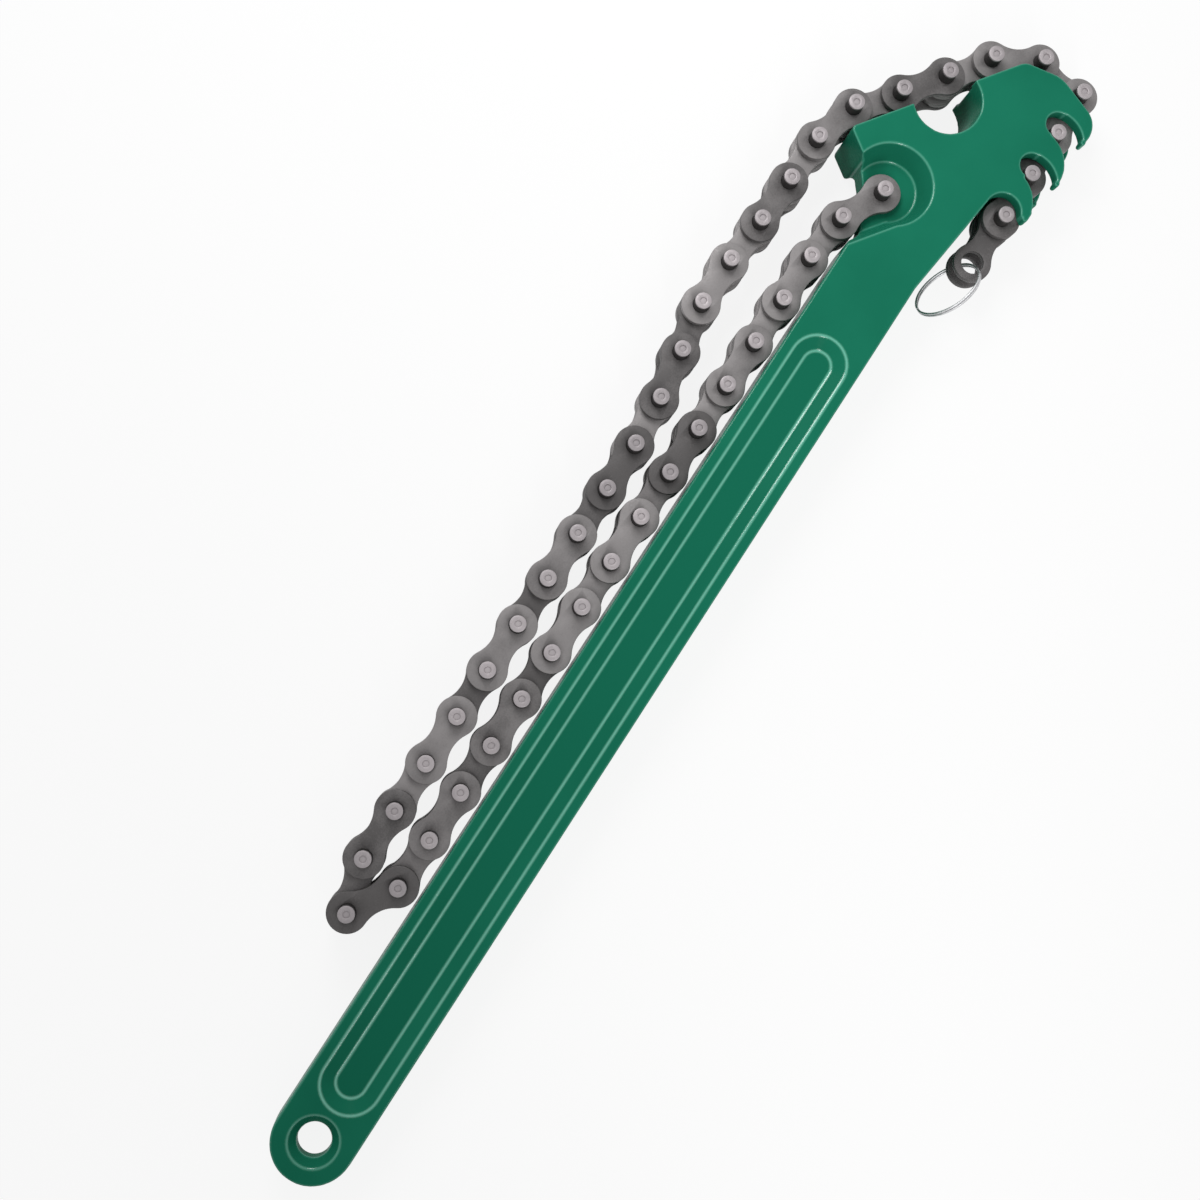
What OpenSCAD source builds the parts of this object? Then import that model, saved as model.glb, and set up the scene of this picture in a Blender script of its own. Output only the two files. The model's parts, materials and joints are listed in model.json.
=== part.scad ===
// Chain pipe wrench lying flat: +X runs from the hang hole to the head,
// +Y is the side on which the slack chain lies, +Z is the upper face.
// All lengths in millimetres, angles in degrees.

/* [Handle] */
// hang hole to anchor pin along the handle
handle_len = 259.2; // [220:0.1:300]
// half width at the hang hole, also the radius of the round end
end_half = 9.7; // [8:0.1:12]
// half width at the neck
neck_half = 9.9; // [8.2:0.1:12]
// thickness at the hang hole
end_t = 8; // [6:0.2:12]
// thickness of the neck and head
head_t = 17.6; // [17.6:0.2:20]
// hang hole to where the faces become parallel
taper_len = 226; // [180:1:240]
// hang hole radius
hang_r = 3.9; // [2.5:0.1:4.6]
// countersink radius on the face
hang_sink_r = 5.8; // [5:0.1:7]
// countersink depth
hang_sink_t = 2.4; // [1:0.1:2.8]

/* [Panel] */
// centre of the panel's lower round end
panel_from = 15; // [14:0.5:30]
// centre of the panel's upper round end
panel_to = 213; // [150:0.5:220]
// half width at the rim
panel_rim = 7; // [5:0.1:7.6]
// half width at the floor
panel_floor = 3.6; // [2:0.1:4.5]
// depth of the panel
panel_t = 1.9; // [1:0.1:2.4]

/* [Chain] */
// pin to pin
pitch = 12.7; // [12.5:0.05:13]
// radius of a plate end
plate_r = 4.8; // [4.4:0.05:4.9]
// half height of a plate at its waist
waist = 3.1; // [2.6:0.05:3.6]
// thickness of one plate
plate_t = 1.5; // [1.2:0.05:1.6]
// half of the gap between the inner plates
inner_half = 1.6; // [1.4:0.05:1.8]
// pin radius
pin_r = 2; // [1.7:0.05:2.1]
// how far a pin stands out of its plate
pin_out = 3.4; // [2.4:0.1:3.4]
// bush radius
bush_r = 2.9; // [2.7:0.05:3.1]
// hole radius at the free end of the last link
tail_hole_r = 2.8; // [2.7:0.05:3]
// radial play of a pin in its bush
pin_play = 0.05; // [0.03:0.01:0.08]
// gap between neighbouring plates
side_play = 0.3; // [0.25:0.05:0.4]

/* [Lie of the chain] */
// height of the anchor pin above the handle's axis
anchor_y = 9.3; // [8.8:0.1:10]
// gap between the handle's side and the plates of the first run
run_gap = 0.67; // [0.5:0.01:1.5]
// gap between the plates of the first and second run
run_space = 0.6; // [0.5:0.05:2]
// share of the step out from the anchor that the first link takes
lead_share = 0.82; // [0.7:0.01:0.9]
// first hook pin behind the nose, along X from the anchor
hook_x = 37.4; // [37:0.1:38]
// hook pins below the handle's axis
hook_y = -18.9; // [-19.4:0.1:-18.4]

/* [Head] */
// centre of the rounded nose, along X from the anchor
nose_x = 40.4; // [39:0.1:42]
// centre of the rounded nose below the handle's axis
nose_y = -20; // [-21:0.1:-19]
// radius of the nose
nose_r = 6; // [5:0.1:6.4]
// centre of the front's bulge, along X from the anchor
cheek_x = 41.1; // [40:0.1:42]
// centre of the front's bulge below the handle's axis
cheek_y = -11.8; // [-13:0.1:-11]
// radius of the front's bulge
cheek_r = 8; // [7:0.1:8.6]
// centre of the upper front corner, along X from the anchor
brow_x = 43.7; // [41:0.1:45]
// centre of the upper front corner below the handle's axis
brow_y = -5; // [-7:0.1:-3]
// radius of the upper front corner
brow_r = 4; // [3:0.1:5]
// centre of the back corner, along X from the anchor
crest_x = 8.2; // [7:0.1:9]
// centre of the back corner above the handle's axis
crest_y = 22.9; // [21:0.1:24]
// radius of the back corner
crest_r = 1.2; // [0.8:0.1:2]
// foot of the back corner, along X from the anchor
heel_x = 4.4; // [3:0.1:6]
// foot of the back corner above the handle's axis
heel_y = 18; // [16:0.1:19]
// radius at the foot of the back corner
heel_r = 0.8; // [0.5:0.1:1.2]
// tip of the last claw, along X from the anchor
claw_x = 13.4; // [13:0.1:14]
// tip of the last claw below the handle's axis
claw_y = -23.3; // [-23.6:0.1:-23]
// radius of the last claw's tip
claw_r = 0.7; // [0.6:0.05:0.9]
// where the web beside the anchor meets the neck, before the anchor
web_x = 5.6; // [5:0.1:6]
// where the neck begins, before the anchor
neck_x = 17; // [15:0.5:20]
// radius of the round jaw notch
jaw_r = 8.6; // [7:0.1:9]
// jaw notch centre from the anchor, along X
jaw_x = 27.7; // [26:0.1:29]
// jaw notch centre above the handle's axis
jaw_y = 8.4; // [7.5:0.1:9.5]
// radius of a claw slot's round end
slot_r = 3; // [2.8:0.1:3.2]
// how far that end lies ahead of its pin and above it
slot_seat = 1.2; // [1:0.1:1.4]
// radius of a slot's long front wall
wall_r = 7.7; // [7:0.1:8]
// centre of that wall behind the pin
wall_x = 3.2; // [3:0.1:3.4]
// radius of a claw's rounded back
back_r = 9.2; // [8.8:0.1:9.4]
// centre of a claw's back behind the pin in front of it
back_x = 11.2; // [11.1:0.1:11.6]
// centre of the middle claw's back below the handle's axis
back_y = -16.5; // [-17:0.1:-16]
// centre of the last claw's back below the handle's axis
last_y = -14.9; // [-15.4:0.1:-14.4]
// radius of a claw's tip
tip_r = 0.7; // [0.6:0.05:0.9]
// centre of a claw's tip ahead of the pin behind it
tip_x = 0.95; // [0.8:0.05:1.2]
// centre of a claw's tip below that pin
tip_y = 6.45; // [6.2:0.05:6.6]
// radius of the last, wider claw pocket
pocket_r = 4.4; // [4:0.1:4.8]
// radius of the last claw's hollow side
hollow_r = 8; // [7.6:0.1:8.2]
// centre of that side behind the pin
hollow_x = 3.4; // [3.2:0.1:3.6]
// centre of that side above the pin
hollow_y = 3.3; // [3.1:0.1:3.5]
// gap between a plate and the groove it lies in
groove_play = 0.35; // [0.3:0.05:0.45]
// centre of the anchor dish, along X from the anchor
dish_x = 1.5; // [1:0.1:2]
// centre of the anchor dish above the handle's axis
dish_y = 8.6; // [8.2:0.1:9.2]
// anchor dish radius on the face
dish_rim = 10.3; // [10:0.1:10.8]
// anchor dish radius at its floor
dish_floor = 7.8; // [7.4:0.1:8.2]
// heading of the straight edge where the dish runs out
exit_heading = 145; // [140:1:150]
// anchor pin to that edge
exit_off = 9.6; // [9:0.1:10]
// width of the sloping wall along that edge
exit_wall = 2.8; // [2:0.1:3.4]
// small step from the dish's floor down to the run-out
exit_step = 0.05; // [0.05:0.01:0.1]

/* [Ring] */
// ring radius to the wire's centre
ring_r = 8.5; // [7.8:0.1:9]
// wire radius
wire_r = 0.6; // [0.5:0.05:0.65]
// lean of the ring from upright
ring_lean = -31; // [-32:1:-22]
// heading of the ring's centre from the tail hole
ring_heading = 172; // [165:1:178]

/* [Hidden] */
LINKS = 44;
// first pin held in the claws, and the pin at the fold of the slack chain
HOOKED = LINKS - 3;
FOLD = HOOKED - 24;
$fn = 48;

inner_out = inner_half + plate_t;
outer_in = inner_out + side_play;
outer_out = outer_in + plate_t;
pin_end = outer_out + pin_out;
groove_half = outer_out + side_play;
web_half = outer_in - side_play;
face = head_t / 2;
slope = atan((face - end_t / 2) / taper_len);
cut = 1;
// inset of a straight edge from the arcs and outlines that it joins
sink = 0.02;

// The first run lies beside the handle and the second beside the first.
run_1_y = max(end_half, neck_half) + run_gap + plate_r;
run_2_y = run_1_y + 2 * plate_r + run_space;

// Headings of the links over the head's top and round the nose, down to the
// first hooked pin.
over = [0, -4, -2, 0, -14, -38, -34, -35, -58, -98, 180];
OVER_FROM = HOOKED + 1 - len(over);
// first link that lies down on the head
SEATED_FROM = OVER_FROM + 5;
// Shares of the step from the second run up to the head, link by link.
bend = [0.04, 0.2, 0.36, 0.4];
BEND_FROM = OVER_FROM - len(bend);

function dir(a) = [cos(a), sin(a)];
function climb(rise) = asin(rise / pitch);
function lead(k) = k > 2 ? 180
    : 180 - climb((k == 1 ? lead_share : 1 - lead_share) * (run_1_y - anchor_y));
function anchor() = [handle_len, anchor_y];
function down(k) = k == 0 ? anchor() : down(k - 1) + pitch * dir(lead(k));
function hook(k) = [handle_len + hook_x - (k - HOOKED) * pitch, hook_y];
function top(k) = k >= HOOKED ? hook(k) : top(k + 1) - pitch * dir(over[k + 1 - OVER_FROM]);
step_up = top(OVER_FROM - 1).y - run_2_y;
function up(k) = k >= OVER_FROM - 1 ? top(k)
    : up(k + 1) - pitch * dir(k + 1 < BEND_FROM ? 0 : climb(bend[k + 1 - BEND_FROM] * step_up));
// apex of the fold on the two pins beside it
function apex(a, b) = let (d = b - a, h = sqrt(pow(pitch, 2) - d * d / 4))
    (a + b) / 2 + h * [-d.y, d.x] / norm(d);
function pin(k) = k < FOLD ? down(k) : k > FOLD ? up(k) : apex(down(FOLD - 1), up(FOLD + 1));
function heading(k) = let (d = pin(k) - pin(k - 1)) atan2(d.y, d.x);

// unit normal on the right-hand side of the belt from circle a to circle b,
// each given as [x, y, r]
function belt_n(a, b) = let (d = [b.x - a.x, b.y - a.y])
    dir(atan2(d.y, d.x) - acos((a[2] - b[2]) / norm(d)));
function belt(c) = [for (i = [0:len(c) - 1]) let (a = c[i], b = c[(i + 1) % len(c)], n = belt_n(a, b))
    each [[a.x, a.y] + (a[2] - sink) * n, [b.x, b.y] + (b[2] - sink) * n]];
function at(x, y) = [handle_len + x, y];

module belt2d(c) {
    polygon(belt(c));
    for (k = c)
        translate([k.x, k.y]) circle(k[2]);
}

module slab(half) {
    linear_extrude(2 * half, center = true) children();
}

module both_faces() {
    children();
    mirror([0, 0, 1]) children();
}

// stadium along a link
module lane(a, b, r) {
    d = b - a;
    translate(a) circle(r);
    translate(b) circle(r);
    flat = r - sink;
    translate(a) rotate(atan2(d.y, d.x)) translate([0, -flat]) square([norm(d), 2 * flat]);
}

// Head outline

// where a line from the neck's lower corner touches the last claw pocket
function throat() = let (p = at(-neck_x, -neck_half), d = pocket() - p, r = pocket_r - sink)
    p + sqrt(d * d - pow(r, 2)) * dir(atan2(d.y, d.x) + asin(r / norm(d)));
function pocket() = pin(HOOKED + 2) + [0, slot_seat];

module head2d() {
    difference() {
        union() {
            difference() {
                // top, front and underside, listed counter-clockwise
                belt2d([
                    [handle_len + claw_x, claw_y, claw_r],
                    [handle_len + nose_x, nose_y, nose_r],
                    [handle_len + cheek_x, cheek_y, cheek_r],
                    [handle_len + brow_x, brow_y, brow_r],
                    [handle_len + crest_x, crest_y, crest_r],
                    [handle_len + heel_x, heel_y, heel_r]
                ]);
                slot2d(HOOKED);
                slot2d(HOOKED + 1);
            }
            difference() {
                translate([pin(HOOKED).x - back_x, back_y]) circle(back_r);
                slot2d(HOOKED + 1);
            }
            translate([pin(HOOKED + 1).x - back_x, last_y]) circle(back_r);
            for (k = [HOOKED:HOOKED + 1])
                translate(pin(k) + [tip_x, -tip_y]) circle(tip_r);
            // root of the head on the neck
            polygon([
                at(-neck_x, sink - neck_half), throat(), at(jaw_x, jaw_y), at(heel_x, heel_y),
                at(-web_x, neck_half), at(-neck_x, neck_half - sink)
            ]);
        }
        translate(at(jaw_x, jaw_y)) circle(jaw_r);
        pocket2d();
        // room for the second link's plate end
        translate(pin(1)) circle(plate_r + 2.4 * groove_play);
    }
    translate(at(claw_x, claw_y)) circle(claw_r);
}

// claw slot: a round end, and below it a long curved front wall
module slot2d(k) {
    translate(pin(k)) {
        translate([slot_seat, slot_seat]) circle(slot_r);
        intersection() {
            translate([-wall_x, 0]) circle(wall_r);
            translate([-3 * wall_r, slot_seat - 3 * wall_r]) square([6 * wall_r, 3 * wall_r]);
        }
    }
}

// wide pocket behind the last claw, with the corner between claw and neck
module pocket2d() {
    translate(pocket()) circle(pocket_r);
    translate(pin(HOOKED + 2)) intersection() {
        translate([-hollow_x, hollow_y]) circle(hollow_r);
        translate([-3 * hollow_r, slot_seat - 3 * hollow_r]) square([6 * hollow_r, 3 * hollow_r]);
    }
    polygon([
        throat(), at(-neck_x, -neck_half), at(-neck_x, 2 * claw_y),
        at(claw_x - claw_r, 2 * claw_y), at(claw_x, claw_y)
    ]);
}

// Handle

module handle2d() {
    circle(end_half);
    polygon([[0, -end_half], at(cut - neck_x, -neck_half), at(cut - neck_x, neck_half), [0, end_half]]);
}

module handle_side2d() {
    half = end_t / 2;
    polygon([
        [-2 * end_half, -half], [0, -half], [taper_len, -face], [handle_len, -face],
        [handle_len, face], [taper_len, face], [0, half], [-2 * end_half, half]
    ]);
}

module hang_hole() {
    slab_t = end_t / 2 + cut;
    cylinder(r = hang_r, h = 2 * slab_t, center = true);
    grow = (hang_sink_r - hang_r) / hang_sink_t;
    both_faces()
        translate([0, 0, end_t / 2 - hang_sink_t])
            cylinder(r1 = hang_r, r2 = hang_r + grow * (hang_sink_t + cut), h = hang_sink_t + cut);
}

// long dish with sloping walls, standing on the tapered face
module panel() {
    grow = (panel_rim - panel_floor) / panel_t;
    wide = panel_floor + grow * (panel_t + cut);
    run = (panel_to - panel_from) / cos(slope);
    both_faces()
        translate([panel_from, 0, end_t / 2 + panel_from * tan(slope)]) rotate([0, -slope, 0]) {
            for (x = [0, run])
                translate([x, 0, -panel_t]) cylinder(r1 = panel_floor, r2 = wide, h = panel_t + cut);
            rotate([90, 0, 90]) linear_extrude(run)
                polygon([[-panel_floor, -panel_t], [panel_floor, -panel_t], [wide, cut], [-wide, cut]]);
        }
}

// dish round the anchor pin, running out to the chain's side
module anchor_dish() {
    deep = face - web_half;
    grow = (dish_rim - dish_floor) / deep;
    level = web_half - exit_step;
    lift = 2 * cut;
    both_faces() {
        translate(at(dish_x, dish_y)) translate([0, 0, web_half])
            cylinder(r1 = dish_floor, r2 = dish_floor + grow * (deep + cut), h = deep + cut);
        translate(anchor()) rotate(exit_heading) rotate([90, 0, 90]) linear_extrude(3 * pitch)
            polygon([
                [-plate_r, level], [exit_off - exit_wall, level],
                [exit_off + exit_wall * lift / deep, face + lift], [-plate_r, face + lift]
            ]);
    }
}

// groove that takes the plates of the seated links, open below the claws
module chain_groove() {
    slab(groove_half) {
        for (k = [SEATED_FROM:LINKS])
            lane(pin(k - 1), pin(k), plate_r + groove_play);
        translate(pin(LINKS) - [0, 3 * plate_r]) square([pin(HOOKED - 1).x - pin(LINKS).x, 3 * plate_r]);
    }
}

module handle() {
    color("seagreen")
        difference() {
            union() {
                intersection() {
                    slab(head_t) handle2d();
                    rotate([90, 0, 0]) slab(4 * neck_half) handle_side2d();
                }
                slab(face) head2d();
            }
            hang_hole();
            panel();
            anchor_dish();
            chain_groove();
            translate(anchor()) cylinder(r = pin_r + pin_play, h = head_t, center = true);
        }
}

// Chain links, drawn from the first pin along +X

module plate2d() {
    half = pitch / 2;
    hollow_r = (pow(half, 2) - pow(plate_r, 2) + pow(waist, 2)) / (2 * (plate_r - waist));
    hollow_y = waist + hollow_r;
    share = plate_r / (plate_r + hollow_r);
    circle(plate_r);
    translate([pitch, 0]) circle(plate_r);
    difference() {
        translate([half * share, -hollow_y * share]) square([pitch - 2 * half * share, 2 * hollow_y * share]);
        for (s = [-1, 1])
            translate([half, s * hollow_y]) circle(hollow_r);
    }
}

module outer_link() {
    both_faces()
        translate([0, 0, outer_in]) linear_extrude(plate_t) plate2d();
    for (x = [0, pitch])
        translate([x, 0, 0]) cylinder(r = pin_r, h = 2 * pin_end, center = true);
}

module inner_link() {
    difference() {
        union() {
            both_faces()
                translate([0, 0, inner_half]) linear_extrude(plate_t) plate2d();
            for (x = [0, pitch])
                translate([x, 0, 0]) cylinder(r = bush_r, h = 2 * inner_half + plate_t, center = true);
        }
        for (x = [0, pitch])
            translate([x, 0, 0]) cylinder(r = pin_r + pin_play, h = 4 * inner_out, center = true);
    }
}

// last link: a bush at the hooked pin, open holes at the ring
module tail_link() {
    difference() {
        union() {
            both_faces()
                translate([0, 0, inner_half]) linear_extrude(plate_t) plate2d();
            cylinder(r = bush_r, h = 2 * inner_half + plate_t, center = true);
        }
        cylinder(r = pin_r + pin_play, h = 4 * inner_out, center = true);
        translate([pitch, 0, 0]) cylinder(r = tail_hole_r, h = 4 * inner_out, center = true);
    }
}

module link(k) {
    color(k % 2 == 1 ? "silver" : "gray")
        translate(pin(k - 1)) rotate(heading(k)) {
            if (k == LINKS) tail_link();
            else if (k % 2 == 1) outer_link();
            else inner_link();
        }
}

// Wire ring through the tail hole

module tail_ring() {
    sag = 0.3;
    color("gainsboro")
        translate(pin(LINKS)) rotate(ring_heading) rotate([ring_lean, 0, 0])
            translate([ring_r - sag, 0, 0]) rotate([90, 0, 0])
                rotate_extrude() translate([ring_r, 0]) circle(wire_r);
}

handle();
link(1);  // link_01
link(2);  // link_02
link(3);  // link_03
link(4);  // link_04
link(5);  // link_05
link(6);  // link_06
link(7);  // link_07
link(8);  // link_08
link(9);  // link_09
link(10);  // link_10
link(11);  // link_11
link(12);  // link_12
link(13);  // link_13
link(14);  // link_14
link(15);  // link_15
link(16);  // link_16
link(17);  // link_17
link(18);  // link_18
link(19);  // link_19
link(20);  // link_20
link(21);  // link_21
link(22);  // link_22
link(23);  // link_23
link(24);  // link_24
link(25);  // link_25
link(26);  // link_26
link(27);  // link_27
link(28);  // link_28
link(29);  // link_29
link(30);  // link_30
link(31);  // link_31
link(32);  // link_32
link(33);  // link_33
link(34);  // link_34
link(35);  // link_35
link(36);  // link_36
link(37);  // link_37
link(38);  // link_38
link(39);  // link_39
link(40);  // link_40
link(41);  // link_41
link(42);  // link_42
link(43);  // link_43
link(44);  // link_44
tail_ring();
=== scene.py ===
import json
import math
import random

import bmesh
import bpy
from mathutils import Matrix, Vector
from mathutils.bvhtree import BVHTree
from mathutils.kdtree import KDTree


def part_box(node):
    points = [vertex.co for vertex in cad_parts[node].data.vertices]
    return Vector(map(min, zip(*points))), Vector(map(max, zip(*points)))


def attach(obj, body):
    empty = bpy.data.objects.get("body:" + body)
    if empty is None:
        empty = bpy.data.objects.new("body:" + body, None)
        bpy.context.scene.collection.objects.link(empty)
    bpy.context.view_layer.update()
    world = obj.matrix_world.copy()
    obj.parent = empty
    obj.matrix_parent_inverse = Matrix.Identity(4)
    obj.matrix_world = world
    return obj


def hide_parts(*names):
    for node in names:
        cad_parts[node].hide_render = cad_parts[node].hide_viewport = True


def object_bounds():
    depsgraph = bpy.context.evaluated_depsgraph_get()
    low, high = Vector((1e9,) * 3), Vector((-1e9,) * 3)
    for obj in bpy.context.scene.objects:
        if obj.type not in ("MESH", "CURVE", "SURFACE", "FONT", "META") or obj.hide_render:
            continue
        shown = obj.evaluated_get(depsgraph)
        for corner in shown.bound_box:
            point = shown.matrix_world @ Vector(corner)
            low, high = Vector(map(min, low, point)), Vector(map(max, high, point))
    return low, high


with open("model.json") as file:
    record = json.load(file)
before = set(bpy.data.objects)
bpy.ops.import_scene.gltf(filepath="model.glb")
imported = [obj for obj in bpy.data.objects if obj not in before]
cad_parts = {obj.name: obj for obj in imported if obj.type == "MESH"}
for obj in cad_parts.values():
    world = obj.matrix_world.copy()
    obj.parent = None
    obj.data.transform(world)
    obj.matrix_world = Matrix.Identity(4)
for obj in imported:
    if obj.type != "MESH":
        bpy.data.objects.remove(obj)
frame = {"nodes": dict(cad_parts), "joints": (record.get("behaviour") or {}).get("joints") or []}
cad_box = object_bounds()

MM = 0.001
HERE = (0, 0, 0)

scene = bpy.context.scene
scene.view_settings.view_transform = "Standard"

# Chain sizes, as in the CAD model. The dimples in the pin ends are made here only.
LINKS = 44
FIRST_SEATED, LAST_SEATED = 36, 43
PITCH = 12.7 * MM
PLATE_END = 4.8 * MM
PLATE_WAIST = 3.1 * MM
PLATE_THICK = 1.5 * MM
INNER_FACE = 1.6 * MM
OUTER_FACE = 3.4 * MM
PIN_RADIUS = 2.0 * MM
PIN_REACH = 8.3 * MM
DIMPLE_RADIUS = 0.75 * MM
DIMPLE_DEPTH = 0.3 * MM
BUSH_RADIUS = 2.9 * MM
TAIL_HOLE = 2.8 * MM
PIN_PLAY = 0.05 * MM


# Node helpers

def feed(tree, value, socket):
    """Sets an input to a value, or links another node's output to it."""
    if isinstance(value, bpy.types.NodeSocket):
        tree.links.new(value, socket)
    else:
        socket.default_value = value


def add_node(tree, kind, settings=None, **inputs):
    """A node with its settings and inputs. An input goes by its name, or by its number as _0, _1."""
    node = tree.nodes.new(kind)
    for key, value in (settings or {}).items():
        setattr(node, key, value)
    for key, value in inputs.items():
        which = int(key[1:]) if key[0] == "_" else key.replace("_", " ")
        feed(tree, value, node.inputs[which])
    return node


def group_tree(name, kind, inputs, outputs):
    tree = bpy.data.node_groups.new(name, kind)
    for label, socket, value in inputs:
        item = tree.interface.new_socket(name=label, in_out="INPUT", socket_type=socket)
        if value is not None:
            item.default_value = value
    for label, socket in outputs:
        tree.interface.new_socket(name=label, in_out="OUTPUT", socket_type=socket)
    return tree, tree.nodes.new("NodeGroupInput"), tree.nodes.new("NodeGroupOutput")


def math_node(tree, operation, a, b=0.0):
    return add_node(tree, "ShaderNodeMath", {"operation": operation}, _0=a, _1=b).outputs[0]


def mix_colour(tree, factor, a, b):
    return add_node(tree, "ShaderNodeMix", {"data_type": "RGBA"}, _0=factor, _6=a, _7=b).outputs[2]


def ramp(tree, value, low, high):
    """Runs from 0 at low to 1 at high, and stays there beyond them."""
    node = add_node(tree, "ShaderNodeMapRange", {"clamp": True}, Value=value, From_Min=low, From_Max=high)
    return node.outputs[0]


def attribute(tree, name):
    return add_node(tree, "ShaderNodeAttribute", {"attribute_name": name}).outputs["Fac"]


def object_place(tree):
    return tree.nodes.new("ShaderNodeTexCoord").outputs["Object"]


def empty_tree(owner):
    owner.use_nodes = True
    owner.node_tree.nodes.clear()
    return owner.node_tree


def put_out(tree, kind, shader):
    tree.links.new(shader, tree.nodes.new(kind).inputs["Surface"])


# Finishes

NOISE_SPAN = (0.35, 0.65)
DRIFT_DETAIL, GRAIN_DETAIL = 3.0, 2.0

ENAMEL_SCALES = (45.0, 1400.0)
ENAMEL_DARK = (0.0100, 0.160, 0.093, 1)
ENAMEL_LIGHT = (0.0120, 0.180, 0.106, 1)
# Painted shade on the floors of panels and dishes.
ENAMEL_RECESS_SHADE = (0.0090, 0.150, 0.087, 1)
# Painted highlight: the edges are lightened towards this mint tone. The coat on them is real gloss.
ENAMEL_PAINTED_HIGHLIGHT = (0.12, 0.56, 0.40, 1)
HIGHLIGHT_TINT = 0.8
EDGE_GLOSS = 0.9
GLOSS_ROUGHNESS = 0.15
GLOSS_IOR = 2.0
ENAMEL_SPECULAR = 0.01
ENAMEL_ROUGH_SPAN = (-0.4, 3.0)
ENAMEL_GRAIN_HEIGHT, ENAMEL_GRAIN_STRENGTH = 0.02 * MM, 0.2

STEEL_DRIFT_SCALE = 160.0
DRIFT_SHARE, GRAIN_SHARE = 0.6, 0.4
STEEL_ROUGH_TOP = 1.6
STEEL_GRAIN_HEIGHT, STEEL_GRAIN_STRENGTH = 0.03 * MM, 0.3
# Painted shade: the pins' sides are darkened to this colour below their ends, fading in over the next length.
PIN_SIDE_SHADE = (0.035, 0.032, 0.032, 1)
SHADE_FADE = 0.4 * MM

# Unevenness that all finishes share: a slow drift of tone and a fine grain.
uneven_group, uneven_in, uneven_out = group_tree(
    "surface unevenness", "ShaderNodeTree",
    [("Drift Scale", "NodeSocketFloat", 60.0), ("Grain Scale", "NodeSocketFloat", 1500.0)],
    [("Drift", "NodeSocketFloat"), ("Grain", "NodeSocketFloat")])
uneven_place = object_place(uneven_group)
for i, detail in enumerate((DRIFT_DETAIL, GRAIN_DETAIL)):
    noise = add_node(uneven_group, "ShaderNodeTexNoise", None,
                     Vector=uneven_place, Scale=uneven_in.outputs[i], Detail=detail)
    uneven_group.links.new(noise.outputs[0], uneven_out.inputs[i])


def unevenness(tree, drift_scale, grain_scale):
    node = add_node(tree, "ShaderNodeGroup", {"node_tree": uneven_group}, _0=drift_scale, _1=grain_scale)
    return node.outputs[0], node.outputs[1]


def new_material(name):
    mat = bpy.data.materials.new(name)
    tree = empty_tree(mat)
    bsdf = tree.nodes.new("ShaderNodeBsdfPrincipled")
    put_out(tree, "ShaderNodeOutputMaterial", bsdf.outputs["BSDF"])
    return mat, tree, bsdf


def bump(tree, bsdf, height, distance, strength):
    node = add_node(tree, "ShaderNodeBump", None, Height=height, Distance=distance, Strength=strength)
    tree.links.new(node.outputs[0], bsdf.inputs["Normal"])


def enamel_finish():
    """Green paint. It is lightened near edges as a painted highlight, with a glossy coat there, and darkened
    on the floors of recesses as painted shade.
    """
    mat, tree, bsdf = new_material("green_enamel")
    drift, grain = unevenness(tree, *ENAMEL_SCALES)
    thin, recess_share = attribute(tree, "edge_gloss_and_highlight"), attribute(tree, "recess_shade")
    paint = mix_colour(tree, ramp(tree, drift, *NOISE_SPAN), ENAMEL_DARK, ENAMEL_LIGHT)
    # Painted shade: the floors of recesses are darkened.
    paint = mix_colour(tree, recess_share, paint, ENAMEL_RECESS_SHADE)
    # Painted highlight: the tone is lightened towards the edges.
    paint = mix_colour(tree, math_node(tree, "MULTIPLY", thin, HIGHLIGHT_TINT), paint, ENAMEL_PAINTED_HIGHLIGHT)
    tree.links.new(paint, bsdf.inputs["Base Color"])
    tree.links.new(ramp(tree, grain, *ENAMEL_ROUGH_SPAN), bsdf.inputs["Roughness"])
    tree.links.new(math_node(tree, "MULTIPLY", thin, EDGE_GLOSS), bsdf.inputs["Coat Weight"])
    bsdf.inputs["Coat Roughness"].default_value = GLOSS_ROUGHNESS
    bsdf.inputs["Coat IOR"].default_value = GLOSS_IOR
    bsdf.inputs["Specular IOR Level"].default_value = ENAMEL_SPECULAR
    bump(tree, bsdf, grain, ENAMEL_GRAIN_HEIGHT, ENAMEL_GRAIN_STRENGTH)
    return mat


def blended(tree, a, share_a, b, share_b):
    return math_node(tree, "ADD", math_node(tree, "MULTIPLY", a, share_a),
                     math_node(tree, "MULTIPLY", b, share_b))


def steel_finish(name, dark, light, rough, metal, grain_scale, by_link=0.0, shaded_below=None):
    """Steel of a grainy tone, of which the share by_link is the link's own.
    Where a height is given last, it is darkened up to that height on both sides: painted shade."""
    mat, tree, bsdf = new_material(name)
    drift, grain = unevenness(tree, STEEL_DRIFT_SCALE, grain_scale)
    tone = blended(tree, drift, DRIFT_SHARE, grain, GRAIN_SHARE)
    if by_link:
        tone = blended(tree, tone, 1.0 - by_link, attribute(tree, "tone"), by_link)
    steel = mix_colour(tree, ramp(tree, tone, *NOISE_SPAN), dark, light)
    # Painted shade: the sides are darkened below the given height.
    if shaded_below:
        height = add_node(tree, "ShaderNodeSeparateXYZ", None, Vector=object_place(tree)).outputs["Z"]
        height = math_node(tree, "ABSOLUTE", height)
        unshaded = ramp(tree, height, shaded_below - SHADE_FADE, shaded_below)
        steel = mix_colour(tree, unshaded, PIN_SIDE_SHADE, steel)
    tree.links.new(steel, bsdf.inputs["Base Color"])
    tree.links.new(ramp(tree, grain, -rough, STEEL_ROUGH_TOP), bsdf.inputs["Roughness"])
    bsdf.inputs["Metallic"].default_value = metal
    bump(tree, bsdf, grain, STEEL_GRAIN_HEIGHT, STEEL_GRAIN_STRENGTH)
    return mat


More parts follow.
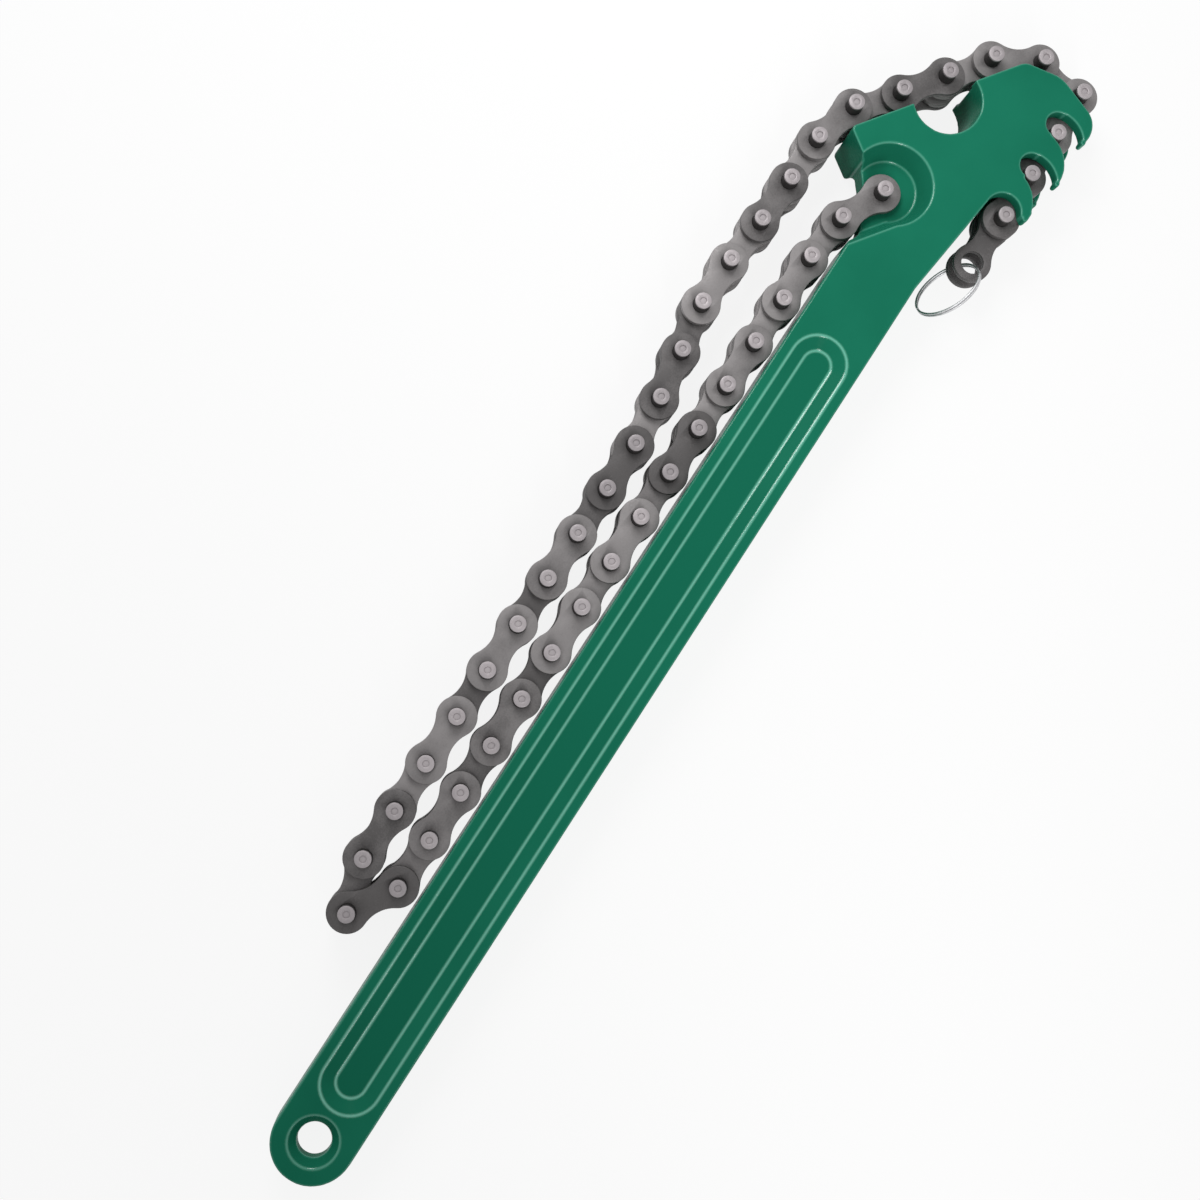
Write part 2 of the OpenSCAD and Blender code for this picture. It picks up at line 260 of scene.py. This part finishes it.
enamel = enamel_finish()
plate_steel = steel_finish(
    "plate_steel", dark=(0.090, 0.085, 0.085, 1), light=(0.235, 0.223, 0.223, 1),
    rough=1.1, metal=0.6, grain_scale=2600.0, by_link=0.4)
# The pins' sides below their ends get painted shade.
pin_steel = steel_finish(
    "pin_steel", dark=(0.28, 0.258, 0.267, 1), light=(0.38, 0.35, 0.36, 1),
    rough=0.9, metal=0.6, grain_scale=2200.0, by_link=0.25, shaded_below=PIN_REACH - DIMPLE_DEPTH)
ring_steel = steel_finish(
    "ring_steel", dark=(0.42, 0.42, 0.43, 1), light=(0.62, 0.62, 0.63, 1),
    rough=0.4, metal=1.0, grain_scale=1800.0)


def new_object(name, data):
    obj = bpy.data.objects.new(name, data)
    scene.collection.objects.link(obj)
    return obj


def baked(obj):
    """Makes the object's modifiers into a plain mesh."""
    graph = bpy.context.evaluated_depsgraph_get()
    mesh = bpy.data.meshes.new_from_object(obj.evaluated_get(graph))
    obj.modifiers.clear()
    obj.data = mesh
    mesh.name = obj.name


# Handle: the CAD shape as a fine skin, its edges eased as forging and paint leave them.

MERGE_REACH = 0.002 * MM
SKIN_GRID = 0.22 * MM
SKIN_FACES_KEPT = 0.13
EASING_FACTOR = 0.5
EASING_PASSES = 22
# An edge turns by more than SHARP; up to LOW it is one of the panels' low edges.
SHARP = math.radians(24)
LOW = math.radians(35)
EDGE_SPACING = 0.15 * MM
FILLED_STEP = 0.08 * MM
# Painted highlight: how far from an edge, and how strongly, the enamel is lightened.
EDGE_HIGHLIGHT_REACH = 0.5 * MM
EDGE_HIGHLIGHT_LOW = 1.0
EDGE_HIGHLIGHT_HIGH = 0.55
# A floor has this many times more inner than outer edge, and its normal is this near to upright.
FLOOR_EDGE_RATIO = 2
LEVEL = 0.9


def merged_copy(node):
    bm = bmesh.new()
    bm.from_mesh(frame["nodes"][node].data)
    bmesh.ops.remove_doubles(bm, verts=bm.verts, dist=MERGE_REACH)
    return bm


def eased_skin(bm, name):
    mesh = bpy.data.meshes.new(name)
    bm.to_mesh(mesh)
    obj = new_object(name, mesh)
    skin = obj.modifiers.new("skin", "REMESH")
    skin.mode = "VOXEL"
    skin.voxel_size = SKIN_GRID
    ease = obj.modifiers.new("eased edges", "SMOOTH")
    ease.factor = EASING_FACTOR
    ease.iterations = EASING_PASSES
    thin = obj.modifiers.new("fewer faces", "DECIMATE")
    thin.ratio = SKIN_FACES_KEPT
    baked(obj)
    obj.data.shade_smooth()
    return obj


def search_tree(points):
    tree = KDTree(len(points))
    for i, point in enumerate(points):
        tree.insert(point, i)
    tree.balance()
    return tree


def edge_points(bm, least, most):
    """Points close together along the edges that turn by such an angle, ready to be searched.
    An outer and an inner edge side by side are a step that the paint fills, so neither is kept."""
    outer, inner = [], []
    for edge in bm.edges:
        if least < edge.calc_face_angle(0.0) <= most:
            start, end = (vert.co for vert in edge.verts)
            steps = max(1, round(edge.calc_length() / EDGE_SPACING))
            points = [start.lerp(end, i / steps) for i in range(steps + 1)]
            if edge.is_convex:
                outer += points
            else:
                inner += points
    by_outer, by_inner = search_tree(outer), search_tree(inner)
    kept = [point for point in outer if by_inner.find(point)[2] > FILLED_STEP]
    kept += [point for point in inner if by_outer.find(point)[2] > FILLED_STEP]
    return search_tree(kept)


def mark_edge_highlight(obj, bm):
    """Painted highlight: the enamel is marked lighter the closer it is to an edge, standing in for the
    highlights on the eased edges. The same mark gives the edges their glossy coat.
    It is strongest on the panels' low edges."""
    edges = [(edge_points(bm, SHARP, LOW), EDGE_HIGHLIGHT_LOW),
             (edge_points(bm, LOW, math.pi), EDGE_HIGHLIGHT_HIGH)]
    layer = obj.data.attributes.new("edge_gloss_and_highlight", "FLOAT", "POINT")
    for vert in obj.data.vertices:
        shares = [full * (1.0 - tree.find(vert.co)[2] / EDGE_HIGHLIGHT_REACH) for tree, full in edges]
        layer.data[vert.index].value = max(0.0, *shares)


def floor_faces(bm):
    """Numbers of the level faces that lie within inner edges: the floors of panels and dishes."""
    floors, seen = set(), set()
    for first in bm.faces:
        if first in seen:
            continue
        seen.add(first)
        patch, outer, inner = [first], 0.0, 0.0
        # The patch grows while it is gone through, until sharp edges bound it.
        for face in patch:
            for edge in face.edges:
                if edge.calc_face_angle(0.0) < SHARP:
                    beside = [other for other in edge.link_faces if other not in seen]
                    seen.update(beside)
                    patch += beside
                elif edge.is_convex:
                    outer += edge.calc_length()
                else:
                    inner += edge.calc_length()
        if inner > FLOOR_EDGE_RATIO * outer and abs(first.normal.z) > LEVEL:
            floors.update(face.index for face in patch)
    return floors


def mark_recess_shade(obj, bm):
    """Painted shade: the floors of panels and dishes are marked to be darker."""
    bm.faces.ensure_lookup_table()
    floors = floor_faces(bm)
    faces = BVHTree.FromBMesh(bm)
    layer = obj.data.attributes.new("recess_shade", "FLOAT", "POINT")
    for vert in obj.data.vertices:
        layer.data[vert.index].value = float(faces.find_nearest(vert.co)[2] in floors)


handle_shape = merged_copy("handle")
handle = eased_skin(handle_shape, "painted_handle")
mark_edge_highlight(handle, handle_shape)
mark_recess_shade(handle, handle_shape)
handle_shape.free()
handle.data.materials.clear()
handle.data.materials.append(enamel)
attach(handle, "handle")
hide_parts("handle")


# Chain: one node tree makes every link. A body's mesh holds one point for each of its links,
# with the link's heading, kind and tone.

OUTER, INNER, TAIL = 0, 1, 2
CIRCLE_STEPS = 28
END_STEPS = 30
HOLLOW_STEPS = 14
SLAB_MERGE = 0.001 * MM
OUTLINE_MERGE = 0.005 * MM
CORE_INSET = 0.01 * MM
LINK_EASING = 0.22 * MM
LINK_EASING_STEPS = 2
LINK_EASED_FROM = math.radians(40)
LINK_SHARP_FROM = math.radians(35)
TONE_SEED = 5

chain_inputs = [
    ("Links", "NodeSocketGeometry", None),
    ("Pitch", "NodeSocketFloat", PITCH),
    ("Plate End", "NodeSocketFloat", PLATE_END),
    ("Plate Waist", "NodeSocketFloat", PLATE_WAIST),
    ("Plate Thickness", "NodeSocketFloat", PLATE_THICK),
    ("Inner Face", "NodeSocketFloat", INNER_FACE),
    ("Outer Face", "NodeSocketFloat", OUTER_FACE),
    ("Pin Radius", "NodeSocketFloat", PIN_RADIUS),
    ("Pin Reach", "NodeSocketFloat", PIN_REACH),
    ("Dimple Radius", "NodeSocketFloat", DIMPLE_RADIUS),
    ("Dimple Depth", "NodeSocketFloat", DIMPLE_DEPTH),
    ("Bush Radius", "NodeSocketFloat", BUSH_RADIUS),
    ("Tail Hole", "NodeSocketFloat", TAIL_HOLE),
    ("Play", "NodeSocketFloat", PIN_PLAY),
    ("Plate Steel", "NodeSocketMaterial", None),
    ("Pin Steel", "NodeSocketMaterial", None),
]
links_tree, links_in, links_out = group_tree(
    "chain links", "GeometryNodeTree", chain_inputs, [("Links", "NodeSocketGeometry")])
size = {item[0]: links_in.outputs[i] for i, item in enumerate(chain_inputs)}


def geo(kind, settings=None, **inputs):
    return add_node(links_tree, kind, settings, **inputs)


def calc(operation, a, b=0.0):
    return math_node(links_tree, operation, a, b)


def minus(value):
    return calc("MULTIPLY", value, -1.0)


def double(value):
    return calc("MULTIPLY", value, 2.0)


def square(value):
    return calc("POWER", value, 2.0)


def vec(x=0.0, y=0.0, z=0.0):
    return geo("ShaderNodeCombineXYZ", None, X=x, Y=y, Z=z).outputs[0]


def join(*parts):
    node = links_tree.nodes.new("GeometryNodeJoinGeometry")
    for part in parts:
        links_tree.links.new(part, node.inputs[0])
    return node.outputs[0]


def moved(part, offset, turn=HERE):
    return geo("GeometryNodeTransform", None, Geometry=part, Translation=offset, Rotation=turn).outputs[0]


def merged(part, distance):
    return geo("GeometryNodeMergeByDistance", None, Geometry=part, Distance=distance).outputs[0]


def arc(radius, start, sweep, steps, centre):
    node = geo("GeometryNodeCurveArc", {"mode": "RADIUS"},
               Resolution=steps, Radius=radius, Start_Angle=start, Sweep_Angle=sweep)
    return moved(node.outputs["Curve"], centre)


def ring_curve(radius):
    node = geo("GeometryNodeCurvePrimitiveCircle", {"mode": "RADIUS"},
               Resolution=CIRCLE_STEPS, Radius=radius)
    return node.outputs["Curve"]


def slab(outline, thickness, level):
    """A closed solid of that thickness on a flat outline, its lower face at that level."""
    face = geo("GeometryNodeFillCurve", {"mode": "NGONS"}, Curve=outline).outputs[0]
    raised = geo("GeometryNodeExtrudeMesh", {"mode": "FACES"}, Mesh=face, Offset=vec(z=1.0),
                 Offset_Scale=thickness, Individual=False).outputs["Mesh"]
    under = geo("GeometryNodeFlipFaces", None, Mesh=face).outputs[0]
    return moved(merged(join(raised, under), SLAB_MERGE), vec(z=level))


def even_slab(outline, reach):
    """A slab that reaches as far below the middle plane as above it."""
    return slab(outline, double(reach), minus(reach))


def near_end(part):
    return moved(part, vec(x=minus(half)))


def far_end(part):
    return moved(part, vec(x=half))


def both_ends(part):
    return join(near_end(part), far_end(part))


def both_sides(part):
    return join(part, moved(part, HERE, (math.pi, 0, 0)))


def finished(part, material):
    return geo("GeometryNodeSetMaterial", None, Geometry=part, Material=material).outputs[0]


# Plate outline: a round end about each pin, joined by a hollow arc above and below.
half = calc("MULTIPLY", size["Pitch"], 0.5)
spread = calc("SUBTRACT", square(half), square(size["Plate End"]))
hollow_r = calc("DIVIDE", calc("ADD", spread, square(size["Plate Waist"])),
                double(calc("SUBTRACT", size["Plate End"], size["Plate Waist"])))
hollow_y = calc("ADD", size["Plate Waist"], hollow_r)
lean = calc("ARCTAN2", hollow_y, half)
open_turn = calc("SUBTRACT", math.pi, lean)
end_sweep = double(open_turn)
hollow_sweep = calc("SUBTRACT", math.pi, double(lean))
right = arc(size["Plate End"], minus(open_turn), end_sweep, END_STEPS, vec(x=half))
left = arc(size["Plate End"], lean, end_sweep, END_STEPS, vec(x=minus(half)))
above = arc(hollow_r, minus(open_turn), hollow_sweep, HOLLOW_STEPS, vec(y=hollow_y))
below = arc(hollow_r, lean, hollow_sweep, HOLLOW_STEPS, vec(y=minus(hollow_y)))
wire = geo("GeometryNodeCurveToMesh", None, Curve=join(right, left, above, below)).outputs[0]
plate_edge = geo("GeometryNodeMeshToCurve", None, Mesh=merged(wire, OUTLINE_MERGE)).outputs[0]

pin_hole = ring_curve(size["Pin Radius"])
bush_edge = ring_curve(size["Bush Radius"])
bore = ring_curve(calc("ADD", size["Pin Radius"], size["Play"]))
tail_bore = ring_curve(size["Tail Hole"])

pin_core = even_slab(ring_curve(calc("SUBTRACT", size["Pin Radius"], CORE_INSET)),
                     calc("SUBTRACT", size["Pin Reach"], size["Dimple Depth"]))
rim_height = double(size["Dimple Depth"])
pin_rim = slab(join(pin_hole, ring_curve(size["Dimple Radius"])), rim_height,
               calc("SUBTRACT", size["Pin Reach"], rim_height))
pin_body = join(pin_core, both_sides(pin_rim))
bush_body = even_slab(join(bush_edge, bore), calc("ADD", size["Inner Face"], size["Plate Thickness"]))

outer_plate = slab(join(plate_edge, near_end(pin_hole), far_end(pin_hole)),
                   size["Plate Thickness"], size["Outer Face"])
inner_plate = slab(join(plate_edge, near_end(bush_edge), far_end(bush_edge)),
                   size["Plate Thickness"], size["Inner Face"])
tail_plate = slab(join(plate_edge, near_end(bush_edge), far_end(tail_bore)),
                  size["Plate Thickness"], size["Inner Face"])

link_shapes = {
    OUTER: join(finished(both_sides(outer_plate), size["Plate Steel"]),
                finished(both_ends(pin_body), size["Pin Steel"])),
    INNER: finished(join(both_sides(inner_plate), both_ends(bush_body)), size["Plate Steel"]),
    TAIL: finished(join(both_sides(tail_plate), near_end(bush_body)), size["Plate Steel"]),
}
kind = geo("GeometryNodeInputNamedAttribute", {"data_type": "INT"}, Name="kind").outputs[0]
heading = geo("GeometryNodeInputNamedAttribute", {"data_type": "FLOAT"}, Name="heading").outputs[0]
placed = []
for which, link_shape in link_shapes.items():
    chosen = geo("FunctionNodeCompare", {"data_type": "INT", "operation": "EQUAL"}, _2=kind, _3=which)
    placed.append(geo("GeometryNodeInstanceOnPoints", None, Points=size["Links"],
                      Selection=chosen.outputs[0], Instance=link_shape,
                      Rotation=vec(z=heading)).outputs[0])
real = geo("GeometryNodeRealizeInstances", None, Geometry=join(*placed)).outputs[0]
links_tree.links.new(real, links_out.inputs[0])


def link_name(k):
    return f"link_{k:02d}"


# Pins, from the hinges where there is one, and else from the links' middles.
hinge_at = {j["name"]: Vector(j["pos_m"]) for j in frame["joints"]}
hinge_at["pin_16"] = hinge_at["loop_swing"]
hinge_at["pin_43"] = hinge_at["tail_swing"]
hinge_at["pin_44"] = hinge_at["ring_swing"]
pins = [hinge_at["pin_00"]]
for k in range(1, LINKS + 1):
    low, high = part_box(link_name(k))
    mirrored = (low + high) - pins[-1]
    mirrored.z = 0.0
    pins.append(hinge_at.get(f"pin_{k:02d}", mirrored))

chance = random.Random(TONE_SEED)
link_tones = [chance.random() for k in range(LINKS)]


def link_points(name, numbers):
    """A mesh with a point for each link. All attributes are made before any is filled,
    because making one moves the others' data."""
    mesh = bpy.data.meshes.new(name)
    mesh.from_pydata([tuple((pins[k - 1] + pins[k]) / 2) for k in numbers], [], [])
    kinds_of_data = {"heading": "FLOAT", "kind": "INT", "tone": "FLOAT"}
    for label, data_type in kinds_of_data.items():
        mesh.attributes.new(label, data_type, "POINT")
    headings, kinds, tones = (mesh.attributes[label] for label in kinds_of_data)
    for i, k in enumerate(numbers):
        along = pins[k] - pins[k - 1]
        headings.data[i].value = math.atan2(along.y, along.x)
        kinds.data[i].value = TAIL if k == LINKS else OUTER if k % 2 else INNER
        tones.data[i].value = link_tones[k - 1]
    return mesh


def chain_piece(name, body, numbers):
    obj = new_object(name, link_points(name, numbers))
    mod = obj.modifiers.new("links", "NODES")
    mod.node_group = links_tree
    values = {"Pitch": (pins[1] - pins[0]).length, "Plate Steel": plate_steel, "Pin Steel": pin_steel}
    for item in links_tree.interface.items_tree:
        if item.in_out == "INPUT" and item.name in values:
            mod[item.identifier] = values[item.name]
    ease = obj.modifiers.new("eased edges", "BEVEL")
    ease.width = LINK_EASING
    ease.segments = LINK_EASING_STEPS
    ease.limit_method = "ANGLE"
    ease.angle_limit = LINK_EASED_FROM
    ease.use_clamp_overlap = False
    baked(obj)
    obj.data.shade_smooth()
    obj.data.set_sharp_from_angle(angle=LINK_SHARP_FROM)
    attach(obj, body)
    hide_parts(*[link_name(k) for k in numbers])


for k in range(1, FIRST_SEATED):
    chain_piece(f"chain_{link_name(k)}", link_name(k), [k])
chain_piece("chain_seated", "handle", list(range(FIRST_SEATED, LAST_SEATED + 1)))
chain_piece("chain_tail", "tail_link", [LINKS])


# Tail ring: two close turns of wire, side by side within the CAD ring, as a split ring has.

RING_WIRE = 0.6 * MM
TURN_WIRE = 0.3 * MM
WIRE_ROUNDNESS = 4
RING_STEPS = 72
CROSSING = math.radians(25)
RING_ENDS_AT = math.radians(150)
FULL_TURN = 2 * math.pi


def ring_axes(node):
    """The CAD ring's centre, its direction to the hinge, the one across it, its axis and the radius
    of its wire's middle."""
    low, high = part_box(node)
    centre = (low + high) / 2
    spokes = [vert.co - centre for vert in frame["nodes"][node].data.vertices]
    first = max(spokes, key=lambda spoke: spoke.length)
    axis = max((first.cross(spoke) for spoke in spokes), key=lambda normal: normal.length).normalized()
    inner = hinge_at["ring_swing"] - centre
    inner = (inner - axis * inner.dot(axis)).normalized()
    return centre, inner, axis.cross(inner), axis, first.length - RING_WIRE


def split_ring(name, node):
    centre, inner, across, axis, radius = ring_axes(node)
    curve = bpy.data.curves.new(name, "CURVE")
    curve.dimensions = "3D"
    curve.bevel_depth = TURN_WIRE
    curve.bevel_resolution = WIRE_ROUNDNESS
    curve.use_fill_caps = True
    spline = curve.splines.new("POLY")
    spline.points.add(2 * RING_STEPS)
    for i, point in enumerate(spline.points):
        turn = FULL_TURN * i / RING_STEPS
        shift = max(-1.0, min(1.0, (turn - FULL_TURN) / CROSSING))
        angle = turn + RING_ENDS_AT
        spoke = radius * (math.cos(angle) * inner + math.sin(angle) * across)
        point.co = (*(centre + spoke + TURN_WIRE * shift * axis), 1.0)
    path = new_object(name, curve)
    graph = bpy.context.evaluated_depsgraph_get()
    mesh = bpy.data.meshes.new_from_object(path.evaluated_get(graph))
    bpy.data.objects.remove(path)
    mesh.materials.clear()
    mesh.materials.append(ring_steel)
    mesh.shade_smooth()
    ring = new_object(name, mesh)
    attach(ring, "tail_ring")
    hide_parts(node)


split_ring("split_ring", "tail_ring")


# Floor, light and camera

WHITE = (1, 1, 1, 1)
FLOOR_REACH = 6.0
FLOOR_DARK = (0.90, 0.90, 0.90, 1)
FLOOR_LIGHT = (0.94, 0.94, 0.94, 1)
FLOOR_DRIFT = 3.0
FLOOR_GLOW = 0.87
SKY_LIGHT = 0.38


def seen_rays(tree):
    """1 for rays that show the stage itself or its reflection, 0 for those that light the object."""
    path = tree.nodes.new("ShaderNodeLightPath")
    seen = math_node(tree, "MAXIMUM", path.outputs["Is Camera Ray"], path.outputs["Is Glossy Ray"])
    return math_node(tree, "MAXIMUM", seen, path.outputs["Is Transmission Ray"])


def mix_shader(tree, factor, a, b):
    return add_node(tree, "ShaderNodeMixShader", None, _0=factor, _1=a.outputs[0], _2=b.outputs[0]).outputs[0]


def floor_finish():
    mat = bpy.data.materials.new("pale_floor")
    tree = empty_tree(mat)
    cloud = add_node(tree, "ShaderNodeTexNoise", None, Vector=object_place(tree), Scale=FLOOR_DRIFT)
    tint = mix_colour(tree, cloud.outputs[0], FLOOR_DARK, FLOOR_LIGHT)
    matte = add_node(tree, "ShaderNodeBsdfDiffuse", None, Color=tint)
    glow = add_node(tree, "ShaderNodeEmission", None, Color=WHITE, Strength=1.0)
    share = math_node(tree, "MULTIPLY", seen_rays(tree), FLOOR_GLOW)
    put_out(tree, "ShaderNodeOutputMaterial", mix_shader(tree, share, matte, glow))
    return mat


def studio_world():
    world = bpy.data.worlds.new("studio")
    tree = empty_tree(world)
    soft = add_node(tree, "ShaderNodeBackground", None, Color=WHITE, Strength=SKY_LIGHT)
    white = add_node(tree, "ShaderNodeBackground", None, Color=WHITE, Strength=1.0)
    put_out(tree, "ShaderNodeOutputWorld", mix_shader(tree, seen_rays(tree), soft, white))
    return world


def softbox(name, place, aim, width, length, power, spread=math.pi):
    """A lamp with its long side in the upright plane through the place that it lights."""
    light = bpy.data.lights.new(name, "AREA")
    light.shape = "RECTANGLE"
    light.size = width
    light.size_y = length
    light.energy = power
    light.spread = spread
    obj = new_object(name, light)
    obj.location = place
    obj.rotation_euler = (Vector(aim) - Vector(place)).to_track_quat("-Z", "Y").to_euler()


floor_level = cad_box[0].z
floor_corners = [(x * FLOOR_REACH, y * FLOOR_REACH, floor_level)
                 for x, y in ((-1, -1), (1, -1), (1, 1), (-1, 1))]
floor_mesh = bpy.data.meshes.new("floor")
floor_mesh.from_pydata(floor_corners, [], [(0, 1, 2, 3)])
floor_mesh.materials.append(floor_finish())
floor = new_object("floor", floor_mesh)

scene.world = studio_world()

HEAD = (0.27, 0.0, 0.0)
softbox("key", (0.36, 0.24, 0.30), HEAD, width=0.2, length=0.2, power=0.95)
softbox("edge_light", (-0.016, -0.19, 0.29), HEAD, width=0.06, length=0.4, power=0.13,
        spread=math.radians(60))

# The camera that was fitted to the photo by the chain's pins.
CAMERA_SENSOR = 36.0
CAMERA_LENS = 43.46
CAMERA_NEAR = 0.01
CAMERA_PLACE = (0.09535, 0.02726, 0.34087)
CAMERA_TURN = Matrix(((0.54235, 0.83099, -0.12372),
                      (-0.83369, 0.55054, 0.04316),
                      (0.10397, 0.07974, 0.99138)))

camera = bpy.data.cameras.new("camera")
camera.sensor_width = CAMERA_SENSOR
camera.lens = CAMERA_LENS
camera.clip_start = CAMERA_NEAR
eye = new_object("camera", camera)
eye.matrix_world = Matrix.Translation(CAMERA_PLACE) @ CAMERA_TURN.to_4x4()
scene.camera = eye
